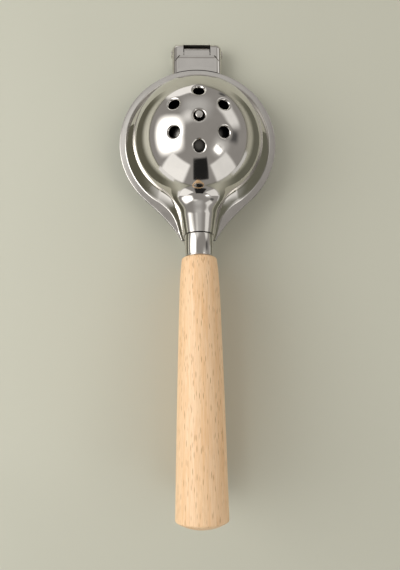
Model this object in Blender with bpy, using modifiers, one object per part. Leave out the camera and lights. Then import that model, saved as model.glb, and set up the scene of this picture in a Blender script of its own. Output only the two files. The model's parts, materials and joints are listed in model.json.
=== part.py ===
# Lemon squeezer with a perforated strainer cup, a press cup nested in it, and two turned handles.
# Working frame: rim plane at z = 0, ring centre at the origin, +Y to the hinge, +Z out of the dome.
# The whole tool is then laid on the table, on its lower handle and its hinge.
import math

import bmesh
import bpy
import numpy as np
from mathutils import Vector

MM = 0.001

# Sheet and clearances
SHEET = 1.2 * MM
FIT_GAP = 0.3 * MM
HALVES_GAP = 0.3 * MM

# Strainer cup
CUP_RADIUS = 31.7 * MM
RIM_WIDTH = 6.55 * MM
COVE_RADIUS = 4.0 * MM
NECK_COVE_RADIUS = 1.0 * MM
HOLE_RADIUS = 2.5 * MM
HOLE_CIRCLE = 12.9 * MM
HOLE_COUNT = 6
SIDE_TANGENT = math.radians(55.1)
RIDGE_TANGENT = math.radians(36.8)
GUSSET_TANGENT = math.radians(48.2)
NECK_LENGTH = 9.35 * MM
NECK_END_RADIUS = 7.0 * MM
NECK_TAPER = 0.12
GUSSET_END_X = 8.2 * MM
GUSSET_END_SLOPE = 0.55

# Press cup
PRESS_CLEARANCE = 4.0 * MM
PRESS_COVE_RADIUS = 6.0 * MM
PRESS_PIN_RADIUS = 1.6 * MM
PRESS_PIN_OFFSET = 0.4 * MM
PRESS_PIN_PROUD = 0.2 * MM
PIN_WASHER_RADIUS = 3.6 * MM
PIN_WASHER_THICKNESS = 0.8 * MM
PIN_RIVET_RADIUS = 2.4 * MM
PIN_RIVET_HEIGHT = 0.9 * MM
PRESS_NECK_LENGTH = 12.1 * MM
NOSE_SHARE = 0.5
NOSE_BLUNTNESS = 0.05
LEAST_LEG = 0.5 * MM

# Hinge
PIN_FROM_RIM = 10.95 * MM
PIN_RADIUS = 1.75 * MM
PIN_HEAD_RADIUS = 2.3 * MM
PIN_HEAD_HEIGHT = 0.7 * MM
KNUCKLE_WIDTH = 12.4 * MM
TONGUE_WIDTH = 19.0 * MM
TONGUE_SHOULDER_LENGTH = 3.35 * MM
BRACKET_WIDTH = 25.0 * MM
BRACKET_SHEET = 1.0 * MM
BRACKET_FRONT_LENGTH = 4.0 * MM
BRACKET_BEND = 2.2 * MM
BRACKET_SLOT_WIDTH = 13.6 * MM
BRACKET_SLOT_BACK = 2.8 * MM
BRACKET_BOSS_RADIUS = 5.0 * MM
BRACKET_WALL_TUCK = 1.05 * MM
BRACKET_WALL_BACK_DEPTH = 4.0 * MM
RELIEF_WIDTH = 0.5 * MM
RELIEF_LENGTH = 2.4 * MM
RELIEF_FROM_RIM = 6.35 * MM

# Handles
AXIS_HEIGHT = 9.3 * MM
AXIS_START_LENGTH = 2.6 * MM
HANDLE_SPLAY = math.radians(4.6)
STUD_HEAD_LENGTH = 5.0 * MM
STUD_RADIUS = 3.0 * MM
STUD_LENGTH = 34.0 * MM
COLLAR_LENGTH = 9.0 * MM
COLLAR_FRONT_RADIUS = 6.7 * MM
COLLAR_BACK_RADIUS = 6.3 * MM
COLLAR_BEAD = 0.25 * MM
COLLAR_BEAD_LENGTH = 0.8 * MM
INSERT_RADIUS = 4.6 * MM
INSERT_LENGTH = 14.0 * MM
HANDLE_LENGTH = 116.5 * MM
HANDLE_FRONT_RADIUS = 8.7 * MM
HANDLE_BACK_RADIUS = 11.3 * MM
HANDLE_BOW = 0.2 * MM
HANDLE_FLARE = 1.0 * MM
HANDLE_FLARE_LENGTH = 6.0 * MM
HANDLE_SHOULDER = 1.3 * MM
HANDLE_END_ROUND = 2.6 * MM
HANDLE_END_CROWN = 0.6 * MM
HANDLE_END_FLAT = 5.0 * MM

# Fineness of the curved surfaces
FAN_RAYS = 36
NECK_RAYS = 14
DOME_RINGS = 9
NECK_STATIONS = 9
COVE_STEPS = 3
TURN_STEPS = 24

RIM_RADIUS = CUP_RADIUS + RIM_WIDTH
SIDE_TANGENT_Y = -CUP_RADIUS * math.sin(SIDE_TANGENT)
RIDGE_TANGENT_Y = -CUP_RADIUS * math.sin(RIDGE_TANGENT)
GUSSET_TANGENT_Y = -RIM_RADIUS * math.sin(GUSSET_TANGENT)
NECK_END_Y = -RIM_RADIUS - NECK_LENGTH
PRESS_NECK_START_Y = NECK_END_Y + PRESS_NECK_LENGTH
AXIS_START_Y = NECK_END_Y + AXIS_START_LENGTH
PIN_Y = RIM_RADIUS + PIN_FROM_RIM
TONGUE_SHOULDER_Y = RIM_RADIUS + TONGUE_SHOULDER_LENGTH
BRACKET_FRONT_Y = PIN_Y + BRACKET_FRONT_LENGTH
BRACKET_SLOT_Y = PIN_Y - BRACKET_SLOT_BACK
BRACKET_WALL_BACK_Y = RIM_RADIUS - BRACKET_WALL_TUCK
RELIEF_Y = RIM_RADIUS + RELIEF_FROM_RIM
PLATE_TOP = 0.0
STRAINER_UNDERSIDE = PLATE_TOP - SHEET
PRESS_TOP = STRAINER_UNDERSIDE - HALVES_GAP
PRESS_UNDERSIDE = PRESS_TOP - SHEET
PARTING = (PLATE_TOP + PRESS_UNDERSIDE) / 2
PRESS_RADIUS = CUP_RADIUS - SHEET - PRESS_CLEARANCE
KNUCKLE_BORE = PIN_RADIUS + FIT_GAP
KNUCKLE_RADIUS = KNUCKLE_BORE + SHEET
PIN_Z = PRESS_TOP - KNUCKLE_RADIUS
BRACKET_TOP = STRAINER_UNDERSIDE + BRACKET_SHEET
AXIS_DIRECTION = Vector((0, -math.cos(HANDLE_SPLAY), math.sin(HANDLE_SPLAY)))


def clear_scene():
    for obj in list(bpy.data.objects):
        bpy.data.objects.remove(obj, do_unlink=True)


def new_collection(name):
    collection = bpy.data.collections.new(name)
    bpy.context.scene.collection.children.link(collection)
    return collection


def metal(name, colour, roughness):
    material = bpy.data.materials.new(name)
    material.use_nodes = True
    shader = material.node_tree.nodes["Principled BSDF"]
    shader.inputs["Base Color"].default_value = (*colour, 1)
    shader.inputs["Metallic"].default_value = 1.0
    shader.inputs["Roughness"].default_value = roughness
    return material


def polished_steel():
    return metal("polished_steel", (0.62, 0.59, 0.55), 0.12)


def brass():
    return metal("brass", (0.72, 0.52, 0.22), 0.3)


def beech():
    material = bpy.data.materials.new("beech")
    material.use_nodes = True
    shader = material.node_tree.nodes["Principled BSDF"]
    shader.inputs["Base Color"].default_value = (0.78, 0.52, 0.28, 1)
    shader.inputs["Roughness"].default_value = 0.5
    return material


def link(obj, collection, material=None):
    for owner in list(obj.users_collection):
        owner.objects.unlink(obj)
    collection.objects.link(obj)
    if material:
        obj.data.materials.clear()
        obj.data.materials.append(material)
    return obj


def mesh_object(name, bm, collection, material=None):
    bmesh.ops.recalc_face_normals(bm, faces=bm.faces)
    mesh = bpy.data.meshes.new(name)
    bm.to_mesh(mesh)
    bm.free()
    mesh.shade_smooth()
    mesh.set_sharp_from_angle(angle=math.radians(35))
    return link(bpy.data.objects.new(name, mesh), collection, material)


def cutter(obj):
    obj.hide_render = True
    obj.display_type = "WIRE"
    link(obj, CUTTERS)
    return obj


def boolean(obj, other, operation="DIFFERENCE"):
    modifier = obj.modifiers.new(f"{operation.lower()}_{other.name}", "BOOLEAN")
    modifier.operation = operation
    modifier.object = other
    return modifier


def cylinder(name, radius, start, end, steps=TURN_STEPS):
    """A closed cylinder between two points."""
    start, end = Vector(start), Vector(end)
    bm = bmesh.new()
    depth = (end - start).length
    bmesh.ops.create_cone(bm, cap_ends=True, segments=steps, radius1=radius, radius2=radius, depth=depth)
    turn = Vector((0, 0, 1)).rotation_difference(end - start)
    bmesh.ops.rotate(bm, verts=bm.verts, matrix=turn.to_matrix())
    bmesh.ops.translate(bm, verts=bm.verts, vec=(start + end) / 2)
    return mesh_object(name, bm, CUTTERS)


def block(name, low, high):
    low, high = Vector(low), Vector(high)
    bm = bmesh.new()
    bmesh.ops.create_cube(bm, size=1)
    bmesh.ops.scale(bm, verts=bm.verts, vec=high - low)
    bmesh.ops.translate(bm, verts=bm.verts, vec=(low + high) / 2)
    return mesh_object(name, bm, CUTTERS)


def prism(name, outline, low, high):
    """A closed prism along X from an outline of (y, z) points."""
    bm = bmesh.new()
    face = bm.faces.new([bm.verts.new((low, y, z)) for y, z in outline])
    made = bmesh.ops.extrude_face_region(bm, geom=[face])["geom"]
    moved = [v for v in made if isinstance(v, bmesh.types.BMVert)]
    bmesh.ops.translate(bm, verts=moved, vec=(high - low, 0, 0))
    return mesh_object(name, bm, CUTTERS)


def turned(name, profile, start, direction, material, steps=TURN_STEPS):
    """A solid of revolution from (distance, radius) points, its ends on the axis or in a bore."""
    bm = bmesh.new()
    verts = [bm.verts.new((radius, 0, -distance)) for distance, radius in profile]
    for first, second in zip(verts, verts[1:]):
        bm.edges.new((first, second))
    if profile[0][1] > 0:
        bm.edges.new((verts[-1], verts[0]))
    mesh = bpy.data.meshes.new(name)
    bm.to_mesh(mesh)
    bm.free()
    obj = link(bpy.data.objects.new(name, mesh), PARTS, material)
    obj.location = start
    obj.rotation_mode = "QUATERNION"
    obj.rotation_quaternion = Vector((0, 0, -1)).rotation_difference(Vector(direction))
    screw = obj.modifiers.new("turn", "SCREW")
    screw.steps = steps
    screw.render_steps = steps
    screw.use_merge_vertices = True
    screw.merge_threshold = 1e-6
    return obj


def arc(centre, radius, from_angle, to_angle, steps):
    """Points on a circle in a plane, both ends included, angles in degrees."""
    angles = np.radians(np.linspace(from_angle, to_angle, steps + 1))
    return [(centre[0] + radius * math.cos(a), centre[1] + radius * math.sin(a)) for a in angles]


def hermite(y, y0, v0, slope0, y1, v1, slope1):
    """A smooth curve from value v0 at y0 to v1 at y1, with the slopes given there."""
    t = (y - y0) / (y1 - y0)
    span = y1 - y0
    first = (2 * t**3 - 3 * t**2 + 1) * v0 + (t**3 - 2 * t**2 + t) * span * slope0
    return first + (3 * t**2 - 2 * t**3) * v1 + (t**3 - t**2) * span * slope1


def circle_height(radius, y):
    return math.sqrt(max(radius**2 - y**2, 0))


def rim_point(y_or_angle, on_circle):
    """The rim's outer edge: a circle, which runs out into the neck in a smooth curve."""
    if on_circle:
        return RIM_RADIUS * math.cos(y_or_angle), RIM_RADIUS * math.sin(y_or_angle)
    y = y_or_angle
    if y > GUSSET_TANGENT_Y:
        return circle_height(RIM_RADIUS, y), y
    x0 = circle_height(RIM_RADIUS, GUSSET_TANGENT_Y)
    slope = -GUSSET_TANGENT_Y / x0
    x = hermite(y, GUSSET_TANGENT_Y, x0, slope, NECK_END_Y, GUSSET_END_X, GUSSET_END_SLOPE)
    return x, y


def neck_half_width(y):
    if y > SIDE_TANGENT_Y:
        return circle_height(CUP_RADIUS, y)
    w0 = circle_height(CUP_RADIUS, SIDE_TANGENT_Y)
    return hermite(y, SIDE_TANGENT_Y, w0, -SIDE_TANGENT_Y / w0, NECK_END_Y, NECK_END_RADIUS, NECK_TAPER)


def neck_height(y):
    h0 = circle_height(CUP_RADIUS, RIDGE_TANGENT_Y)
    end = axis_point(AXIS_START_Y - NECK_END_Y).z + NECK_END_RADIUS
    return hermite(y, RIDGE_TANGENT_Y, h0, -RIDGE_TANGENT_Y / h0, NECK_END_Y, end, 0)


def square_end(point, share):
    """Leans a neck station above its axis, so that its end clears the collar, square to the handle."""
    x, y, z = point
    return x, y + max(z - AXIS_HEIGHT, 0) * math.tan(HANDLE_SPLAY) * share**2, z


def axis_point(distance):
    """A point on the upper handle's axis, at a distance from where the neck grips the stud."""
    return Vector((0, AXIS_START_Y, AXIS_HEIGHT)) + AXIS_DIRECTION * distance


def section(y, cove):
    """The neck's cross-section at y: a half round on straight legs, from cove to cove."""
    width = neck_half_width(y)
    legs = max(neck_height(y) - width, 0)
    start = 0.0
    if legs < cove:
        start = math.asin((cove - legs) / (width + cove))
    leg = max(legs - cove, 0)
    length = 2 * leg + width * (math.pi - 2 * start)
    points = []
    for step in range(NECK_RAYS + 1):
        s = length * step / NECK_RAYS
        if s <= leg:
            points.append((-width, cove + s))
        elif s >= length - leg:
            points.append((width, cove + length - s))
        else:
            angle = start + (s - leg) / width
            points.append((-width * math.cos(angle), legs + width * math.sin(angle)))
    return points


def cove_arc(point, normal, radius, fall):
    """Points down a cove, from the foot of a wall to the flat rim, in the plane of the wall's normal."""
    lean = math.asin(min(fall, 1))
    points = []
    for step in range(1, COVE_STEPS + 1):
        angle = math.pi - lean + (math.pi / 2 + lean) * step / COVE_STEPS
        out = radius * (math.cos(angle) + math.cos(lean))
        drop = radius * (1 + math.sin(angle))
        points.append((point[0] + normal[0] * out, point[1] + normal[1] * out, drop))
    return points


def strainer_surface():
    """The outer skin: rays from the dome's top, which end on the rim or run on along the neck."""
    bm = bmesh.new()
    apex = bm.verts.new((0, 0, CUP_RADIUS))
    lean = (COVE_RADIUS) / (CUP_RADIUS + COVE_RADIUS)
    foot_angle = math.asin(lean)
    side = math.atan2(RIDGE_TANGENT_Y, circle_height(CUP_RADIUS, RIDGE_TANGENT_Y))
    rows = []

    def sphere_ray(azimuth, end_polar):
        ray = []
        for ring in range(1, DOME_RINGS + 1):
            polar = end_polar * ring / DOME_RINGS
            flat = CUP_RADIUS * math.sin(polar)
            ray.append((flat * math.cos(azimuth), flat * math.sin(azimuth), CUP_RADIUS * math.cos(polar)))
        return ray

    for step in range(FAN_RAYS + 1):
        azimuth = side + (math.pi - 2 * side) * step / FAN_RAYS
        ray = sphere_ray(azimuth, math.pi / 2 - foot_angle)
        out = (math.cos(azimuth), math.sin(azimuth))
        ray += cove_arc(ray[-1], out, COVE_RADIUS, lean)
        ray.append((*rim_point(azimuth, True), 0))
        rows.append([bm.verts.new(p) for p in ray])

    for first, second in zip(rows, rows[1:]):
        bm.faces.new((apex, first[0], second[0]))
        for a, b, c, d in zip(first, first[1:], second[1:], second):
            bm.faces.new((a, b, c, d))

    # The rays that run on along the neck, from the left side of the fan to the right.
    start = section(RIDGE_TANGENT_Y, COVE_RADIUS)
    shares = [k / NECK_STATIONS for k in range(1, NECK_STATIONS + 1)]
    stations = [RIDGE_TANGENT_Y + (NECK_END_Y - RIDGE_TANGENT_Y) * share for share in shares]
    coves = [COVE_RADIUS + (NECK_COVE_RADIUS - COVE_RADIUS) * share for share in shares]
    left, right = rows[-1], rows[0]
    neck_rays = [left[:DOME_RINGS]]
    for x, z in start[1:-1]:
        polar = math.acos(z / math.sqrt(x**2 + RIDGE_TANGENT_Y**2 + z**2))
        neck_rays.append([bm.verts.new(p) for p in sphere_ray(math.atan2(RIDGE_TANGENT_Y, x), polar)])
    neck_rays.append(right[:DOME_RINGS])
    for first, second in zip(neck_rays, neck_rays[1:]):
        bm.faces.new((apex, first[0], second[0]))
        for a, b, c, d in zip(first, first[1:], second[1:], second):
            bm.faces.new((a, b, c, d))

    gusset_start = RIM_RADIUS * math.sin(side)
    previous = [ray[-1] for ray in neck_rays]
    skirts = {-1: left[DOME_RINGS:], 1: right[DOME_RINGS:]}
    for y, cove in zip(stations, coves):
        foot_section = section(y, cove)
        share = (y - RIDGE_TANGENT_Y) / (NECK_END_Y - RIDGE_TANGENT_Y)
        ring = [bm.verts.new(square_end((x, y, z), share)) for x, z in foot_section]
        for a, b, c, d in zip(previous, previous[1:], ring[1:], ring):
            bm.faces.new((a, b, c, d))
        slope = (neck_half_width(y + MM / 10) - neck_half_width(y - MM / 10)) / (MM / 5)
        bend = 1 if share < 1 else 0
        normal = Vector((1, -slope * bend)).normalized()
        legs = neck_height(y) - neck_half_width(y)
        fall = max(cove - legs, 0) / (neck_half_width(y) + cove)
        for side_sign, foot, last in ((-1, ring[0], previous[0]), (1, ring[-1], previous[-1])):
            wall = foot_section[0 if side_sign < 0 else -1][0]
            points = cove_arc((wall, y), (normal.x * side_sign, normal.y), cove, fall)
            x, edge_y = rim_point(gusset_start + (NECK_END_Y - gusset_start) * share, False)
            points.append((x * side_sign, edge_y, 0))
            skirt = [bm.verts.new(square_end(p, share)) for p in points]
            old = skirts[side_sign]
            for a, b, c, d in zip([last, *old], old, skirt, [foot, *skirt]):
                bm.faces.new((a, b, c, d))
            skirts[side_sign] = skirt
        previous = ring
    return bm


def solidify(obj, thickness, offset):
    modifier = obj.modifiers.new("sheet", "SOLIDIFY")
    modifier.thickness = thickness
    modifier.offset = offset
    modifier.use_even_offset = True
    return modifier


def make_strainer_cup(steel):
    cup = mesh_object("strainer_cup", strainer_surface(), PARTS, steel)
    solidify(cup, SHEET, -1)
    places = [(0, 0)]
    for number in range(HOLE_COUNT):
        angle = math.pi / 6 + number * 2 * math.pi / HOLE_COUNT
        places.append((HOLE_CIRCLE * math.cos(angle), HOLE_CIRCLE * math.sin(angle)))
    for number, (x, y) in enumerate(places):
        low, high = (x, y, CUP_RADIUS / 2), (x, y, CUP_RADIUS * 1.2)
        drill = cylinder(f"strainer_drill_{number}", HOLE_RADIUS, low, high, 16)
        boolean(cup, cutter(drill))
    return cup


def rim_outline():
    """The whole rim's outline as (x, y) points, anticlockwise from the neck's right side."""
    side = math.asin(GUSSET_TANGENT_Y / RIM_RADIUS)
    ys = np.linspace(NECK_END_Y, GUSSET_TANGENT_Y, NECK_STATIONS)[:-1]
    right = [rim_point(y, False) for y in ys]
    turn = [rim_point(a, True) for a in np.linspace(side, math.pi - side, FAN_RAYS + 1)]
    left = [(-x, y) for x, y in reversed(right)]
    return right + turn + left


def make_press_cup(steel):
    """The dome and its cove are turned; the rim's gusset is a plate joined to them."""
    centre = 0.0
    rise = PRESS_COVE_RADIUS - (centre - PRESS_TOP)
    reach = math.sqrt((PRESS_RADIUS + PRESS_COVE_RADIUS) ** 2 - rise**2)
    lean = math.degrees(math.asin(rise / (PRESS_RADIUS + PRESS_COVE_RADIUS)))
    cove_centre = (reach, PRESS_TOP + PRESS_COVE_RADIUS)
    outer = [(0.0, PRESS_RADIUS)] + arc((0, centre), PRESS_RADIUS, 90, lean, DOME_RINGS)[1:]
    outer += arc(cove_centre, PRESS_COVE_RADIUS, 180 + lean, 270, COVE_STEPS + 1)[1:]
    overlap = SHEET
    outer.append((reach + overlap, PRESS_TOP))
    inner = [(reach + overlap, PRESS_UNDERSIDE)]
    inner += arc(cove_centre, PRESS_COVE_RADIUS + SHEET, 270, 180 + lean, COVE_STEPS + 1)
    inner += arc((0, centre), PRESS_RADIUS - SHEET, lean, 90, DOME_RINGS)[1:]
    profile = [(-z, r) for r, z in outer + inner]
    profile[-1] = (profile[-1][0], 0.0)
    cup = turned("press_cup", profile, (0, 0, 0), (0, 0, -1), steel, FAN_RAYS + NECK_RAYS)
    bm = bmesh.new()
    face = bm.faces.new([bm.verts.new((x, y, PRESS_UNDERSIDE)) for x, y in rim_outline()])
    made = bmesh.ops.extrude_face_region(bm, geom=[face])["geom"]
    bmesh.ops.translate(bm, verts=[v for v in made if isinstance(v, bmesh.types.BMVert)], vec=(0, 0, SHEET))
    plate = cutter(mesh_object("press_rim_plate", bm, CUTTERS))
    eye_radius = reach + overlap / 2
    eye = cylinder("press_rim_eye", eye_radius, (0, 0, -0.01), (0, 0, 0.01), FAN_RAYS + NECK_RAYS)
    boolean(plate, cutter(eye))
    boolean(cup, plate, "UNION")
    bore = cylinder(
        "press_pin_bore",
        PRESS_PIN_RADIUS + FIT_GAP,
        (0, PRESS_PIN_OFFSET, PRESS_RADIUS / 2),
        (0, PRESS_PIN_OFFSET, PRESS_RADIUS * 1.2),
        24,
    )
    boolean(cup, cutter(bore))
    return cup


def make_press_pin(steel):
    """Riveted under the dome, through its washer; the shoulder above the dome keeps it upright."""
    tip = CUP_RADIUS + PRESS_PIN_PROUD
    washer_top = circle_height(PRESS_RADIUS - SHEET, PIN_WASHER_RADIUS) - FIT_GAP
    washer_low = washer_top - PIN_WASHER_THICKNESS
    rivet_top = washer_low - FIT_GAP
    chamfer = 0.3 * MM
    heights = [
        (tip, 0.0),
        (tip, PRESS_PIN_RADIUS - chamfer),
        (tip - chamfer, PRESS_PIN_RADIUS),
        (rivet_top, PRESS_PIN_RADIUS),
        (rivet_top, PIN_RIVET_RADIUS),
        (rivet_top - PIN_RIVET_HEIGHT / 2, PIN_RIVET_RADIUS),
        (rivet_top - PIN_RIVET_HEIGHT, PIN_RIVET_RADIUS / 2),
        (rivet_top - PIN_RIVET_HEIGHT, 0.0),
    ]
    pin = turned("press_pin", [(-z, r) for z, r in heights], (0, PRESS_PIN_OFFSET, 0), (0, 0, -1), steel, 24)
    washer_profile = [
        (-washer_top, PRESS_PIN_RADIUS + FIT_GAP),
        (-washer_top, PIN_WASHER_RADIUS),
        (-washer_low, PIN_WASHER_RADIUS),
        (-washer_low, PRESS_PIN_RADIUS + FIT_GAP),
    ]
    washer = turned("press_pin_washer", washer_profile, (0, PRESS_PIN_OFFSET, 0), (0, 0, -1), steel, 24)
    return [pin, washer]


def make_strainer_bracket(steel):
    """A pressed box with rounded edges, open below and towards the cup, with a slot for the knuckle."""
    half = BRACKET_WIDTH / 2
    bottom = PIN_Z - BRACKET_BOSS_RADIUS
    back = circle_height(RIM_RADIUS, half) - SHEET

    def rounded_box(name, inset, bend, low_z, low_y):
        first_corner = (inset - half, low_y, low_z)
        box = block(name, first_corner, (half - inset, BRACKET_FRONT_Y - inset, BRACKET_TOP - inset))
        bevel = box.modifiers.new("bend", "BEVEL")
        bevel.width = bend
        bevel.segments = 4
        bevel.limit_method = "WEIGHT"
        weights = box.data.attributes.new("bevel_weight_edge", "FLOAT", "EDGE")
        for edge in box.data.edges:
            ends = [box.data.vertices[i].co for i in edge.vertices]
            high = all(e.z > BRACKET_TOP - inset - MM / 10 for e in ends)
            front = all(e.y > BRACKET_FRONT_Y - inset - MM / 10 for e in ends)
            rear = all(e.y < low_y + MM / 10 for e in ends)
            weights.data[edge.index].value = 1.0 if (high or front) and not rear and (high + front) else 0.0
            if front and all(e.z < low_z + MM / 10 for e in ends):
                weights.data[edge.index].value = 0.0
        return box

    bracket = rounded_box("strainer_bracket", 0, BRACKET_BEND, bottom, back)
    link(bracket, PARTS, steel)
    inner_bend = BRACKET_BEND - BRACKET_SHEET
    hollow = rounded_box("bracket_hollow", BRACKET_SHEET, inner_bend, bottom - MM, back - MM)
    boolean(bracket, cutter(hollow))
    slot_half = BRACKET_SLOT_WIDTH / 2
    slot_end = (slot_half, BRACKET_FRONT_Y + MM, MM)
    slot = block("bracket_slot", (-slot_half, BRACKET_SLOT_Y, bottom - MM), slot_end)
    boolean(bracket, cutter(slot))
    rim = cylinder("bracket_rim_cut", RIM_RADIUS + FIT_GAP, (0, 0, -0.02), (0, 0, 0.02), 96)
    boolean(bracket, cutter(rim))
    # The side walls narrow from the rim to the boss round the pin.
    boss = arc((PIN_Y, PIN_Z), BRACKET_BOSS_RADIUS, 230, 315, 8)
    corner = (BRACKET_WALL_BACK_Y, BRACKET_TOP - BRACKET_WALL_BACK_DEPTH)
    low = bottom - MM
    below = [(back - MM, corner[1]), corner, *boss]
    below += [(BRACKET_FRONT_Y + MM, boss[-1][1]), (BRACKET_FRONT_Y + MM, low), (back - MM, low)]
    trim = prism("bracket_wall_trim", below, -BRACKET_WIDTH, BRACKET_WIDTH)
    boolean(bracket, cutter(trim))
    left, right = (-BRACKET_WIDTH, PIN_Y, PIN_Z), (BRACKET_WIDTH, PIN_Y, PIN_Z)
    drill = cylinder("bracket_pin_drill", PIN_RADIUS + FIT_GAP, left, right, 24)
    boolean(bracket, cutter(drill))
    for sign in (-1, 1):
        nick_end = Vector((RELIEF_LENGTH, RELIEF_WIDTH / 2, MM))
        nick = block(f"bracket_relief_{sign}", -nick_end, nick_end)
        nick.location = (sign * (half + RELIEF_LENGTH * 0.05), RELIEF_Y, BRACKET_TOP)
        nick.rotation_euler.z = -sign * math.radians(50)
        boolean(bracket, cutter(nick))
    return bracket


def make_press_bracket(steel):
    """A tongue in line with the rim, rolled down round the pin into the knuckle."""
    half = KNUCKLE_WIDTH / 2
    tip_gap = 40
    outer = arc((PIN_Y, PIN_Z), KNUCKLE_RADIUS, 90, 90 - 360 + tip_gap, 24)
    inner = arc((PIN_Y, PIN_Z), KNUCKLE_BORE, 90 - 360 + tip_gap, 90, 24)
    back = circle_height(RIM_RADIUS, TONGUE_WIDTH / 2) - SHEET
    profile = [(back, PRESS_TOP), *outer, *inner, (back, PRESS_UNDERSIDE)]
    bracket = prism("press_bracket", profile, -half, half)
    link(bracket, PARTS, steel)
    shoulder = block(
        "tongue_shoulder",
        (-TONGUE_WIDTH / 2, back, PRESS_UNDERSIDE),
        (TONGUE_WIDTH / 2, TONGUE_SHOULDER_Y, PRESS_TOP),
    )
    bevel = shoulder.modifiers.new("corner", "BEVEL")
    bevel.width = 2 * MM
    bevel.segments = 3
    bevel.limit_method = "WEIGHT"
    weights = shoulder.data.attributes.new("bevel_weight_edge", "FLOAT", "EDGE")
    for edge in shoulder.data.edges:
        ends = [shoulder.data.vertices[i].co for i in edge.vertices]
        upright = abs(ends[0].z - ends[1].z) > SHEET / 2
        weights.data[edge.index].value = 1.0 if upright and ends[0].y > TONGUE_SHOULDER_Y - MM / 10 else 0.0
    boolean(bracket, cutter(shoulder), "UNION")
    rim = cylinder("tongue_rim_cut", RIM_RADIUS + FIT_GAP, (0, 0, -0.02), (0, 0, 0.02), 96)
    boolean(bracket, cutter(rim))
    return bracket


def make_hinge_pin(steel):
    reach = BRACKET_WIDTH / 2 + FIT_GAP
    profile = [
        (-reach - PIN_HEAD_HEIGHT, 0.0),
        (-reach - PIN_HEAD_HEIGHT, PIN_HEAD_RADIUS * 0.6),
        (-reach - PIN_HEAD_HEIGHT * 0.4, PIN_HEAD_RADIUS),
        (-reach, PIN_HEAD_RADIUS),
        (-reach, PIN_RADIUS),
    ]
    profile += [(-distance, radius) for distance, radius in reversed(profile)]
    pin = turned("hinge_pin", profile, (0, PIN_Y, PIN_Z), (1, 0, 0), steel, 24)
    spacers = []
    inside = KNUCKLE_WIDTH / 2 + FIT_GAP
    outside = BRACKET_WIDTH / 2 - BRACKET_SHEET - FIT_GAP
    for name, sign in (("hinge_spacer_left", -1), ("hinge_spacer_right", 1)):
        tube = [
            (inside, KNUCKLE_BORE),
            (inside, KNUCKLE_BORE + BRACKET_SHEET / 2),
            (outside, KNUCKLE_BORE + BRACKET_SHEET / 2),
            (outside, KNUCKLE_BORE),
        ]
        spacers.append(turned(name, tube, (0, PIN_Y, PIN_Z), (sign, 0, 0), steel, 24))
    return [pin, *spacers]


def handle_radius(s):
    grow = HANDLE_FRONT_RADIUS + (HANDLE_BACK_RADIUS - HANDLE_FRONT_RADIUS) * s / HANDLE_LENGTH
    bow = HANDLE_BOW * math.sin(math.pi * s / HANDLE_LENGTH)
    return grow + bow - HANDLE_FLARE * math.exp(-s / HANDLE_FLARE_LENGTH)


def handle_profile():
    """From the bottom of the bore to its mouth, then the shoulder, the long swell and the crowned butt."""
    stud_bore = STUD_RADIUS + FIT_GAP
    insert_bore = INSERT_RADIUS + FIT_GAP
    stud_depth = STUD_LENGTH - COLLAR_LENGTH
    insert_depth = INSERT_LENGTH + FIT_GAP
    profile = [(stud_depth, 0.0), (stud_depth, stud_bore)]
    profile += [(insert_depth, stud_bore), (insert_depth, insert_bore), (0.0, insert_bore)]
    shoulder = handle_radius(HANDLE_SHOULDER) - HANDLE_SHOULDER
    profile += [(HANDLE_SHOULDER - x, shoulder + y) for x, y in arc((0, 0), HANDLE_SHOULDER, 0, 90, 4)]
    straight = HANDLE_LENGTH - HANDLE_END_CROWN - HANDLE_END_ROUND
    profile += [(s, handle_radius(s)) for s in np.geomspace(HANDLE_SHOULDER * 2, straight, 14)]
    edge = handle_radius(straight) - HANDLE_END_ROUND
    profile += [(straight + x, edge + y) for x, y in arc((0, 0), HANDLE_END_ROUND, 90, 15, 5)[1:]]
    profile += [(HANDLE_LENGTH, HANDLE_END_FLAT), (HANDLE_LENGTH, 0.0)]
    return profile


def make_handle_set(prefix, start, direction, steel, brass_metal, wood):
    """Stud, collar, insert and handle on one axis, from the neck's end outwards."""
    neck_end = (AXIS_START_Y - NECK_END_Y) / math.cos(HANDLE_SPLAY)
    collar_start = neck_end + FIT_GAP
    collar_end = collar_start + COLLAR_LENGTH
    wood_start = collar_end + FIT_GAP
    shank = STUD_RADIUS + FIT_GAP
    chamfer = 0.5 * MM
    head = NECK_END_RADIUS - SHEET - FIT_GAP
    stud = [
        (neck_end - STUD_HEAD_LENGTH, 0.0),
        (neck_end - STUD_HEAD_LENGTH, head - chamfer),
        (neck_end - STUD_HEAD_LENGTH + chamfer, head),
        (neck_end, head),
        (neck_end, STUD_RADIUS),
        (neck_end + STUD_LENGTH - chamfer, STUD_RADIUS),
        (neck_end + STUD_LENGTH, STUD_RADIUS - chamfer),
        (neck_end + STUD_LENGTH, 0.0),
    ]
    collar = [
        (collar_start, shank),
        (collar_start, COLLAR_FRONT_RADIUS - COLLAR_BEAD),
        (collar_start + COLLAR_BEAD, COLLAR_FRONT_RADIUS),
        (collar_end - COLLAR_BEAD_LENGTH, COLLAR_BACK_RADIUS),
        (collar_end - COLLAR_BEAD, COLLAR_BACK_RADIUS + COLLAR_BEAD),
        (collar_end, COLLAR_BACK_RADIUS + COLLAR_BEAD),
        (collar_end, shank),
    ]
    insert_end = wood_start + INSERT_LENGTH
    insert = [(wood_start, shank), (wood_start, INSERT_RADIUS)]
    insert += [(insert_end, INSERT_RADIUS), (insert_end, shank)]
    handle = [(wood_start + s, radius) for s, radius in handle_profile()]
    return [
        turned(f"{prefix}_stud", stud, start, direction, steel, 24),
        turned(f"{prefix}_collar", collar, start, direction, steel),
        turned(f"{prefix}_insert", insert, start, direction, brass_metal, 24),
        turned(f"{prefix}_handle", handle, start, direction, wood),
    ]


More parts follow.
